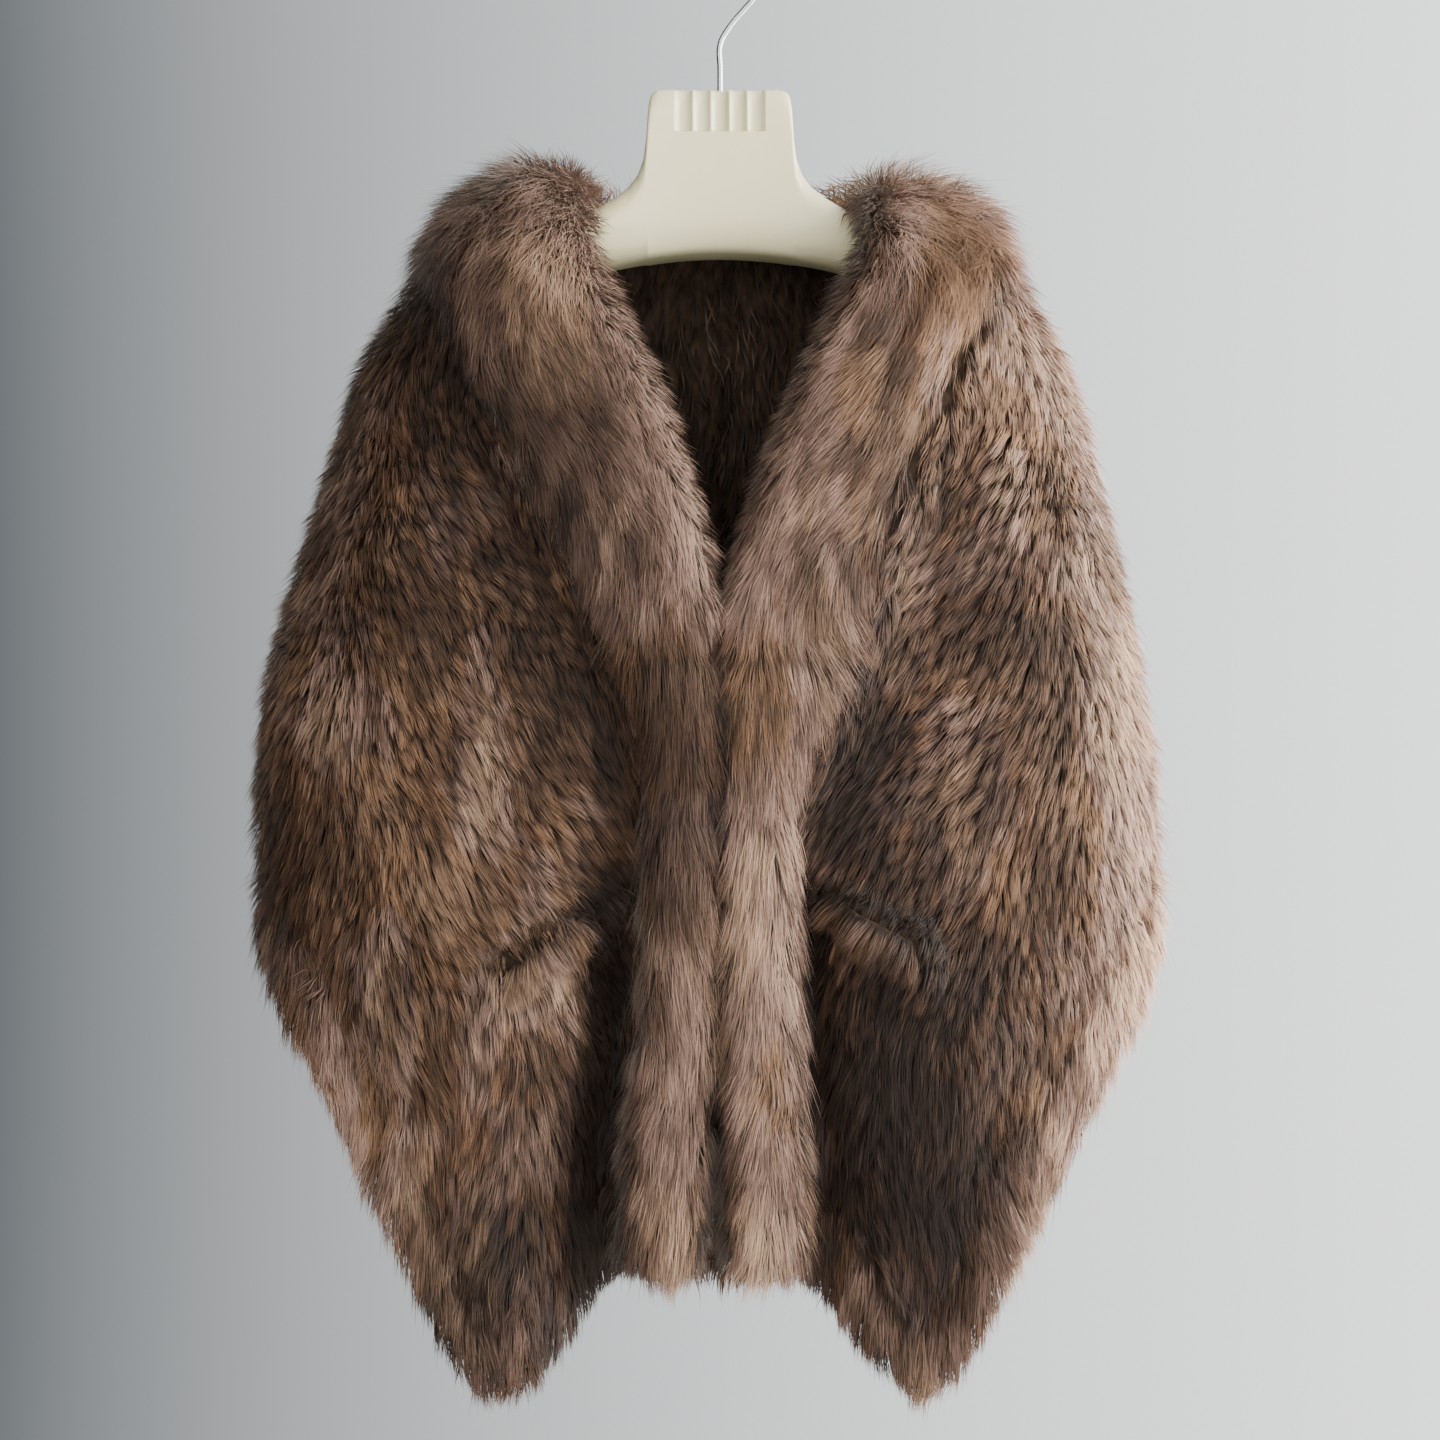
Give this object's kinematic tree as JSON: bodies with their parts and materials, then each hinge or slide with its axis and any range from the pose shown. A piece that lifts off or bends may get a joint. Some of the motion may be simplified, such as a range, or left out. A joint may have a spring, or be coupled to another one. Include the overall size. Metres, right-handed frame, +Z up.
{
  "type": "fur collar wrap on a hanger",
  "caption": "Hip-length fur wrap with a wide shawl collar, front bands and slanting pocket mouths, hanging on a moulded hanger.",
  "frame": {"origin": "inner top of the hook, where it bears on what it hangs from", "axes": "+Z up, -Y out of the front of the wrap, +X to the wearer's left"},
  "size_m": [0.587, 0.233, 0.9248],
  "materials": {
    "knitted_fur": "long soft fur knitted in rows, brown with dark roots",
    "border_fur": "smooth whole fur with tan tips",
    "collar_fur": "dense whole fur with mauve-brown tips",
    "hanger_plastic": "smooth cream moulding",
    "hook_steel": "bright drawn wire"
  },
  "bodies": {
    "root": {"back_right": "knitted_fur", "back_left": "knitted_fur", "front_right": "knitted_fur", "front_left": "knitted_fur", "border_back": "border_fur", "border_right": "border_fur", "border_left": "border_fur", "collar_back": "collar_fur", "collar_right": "collar_fur", "collar_left": "collar_fur", "band_right": "collar_fur", "band_left": "collar_fur", "pocket_lip_right": "collar_fur", "pocket_lip_left": "collar_fur", "hanger": "hanger_plastic", "hook": "hook_steel"}
  },
  "joints": []
}
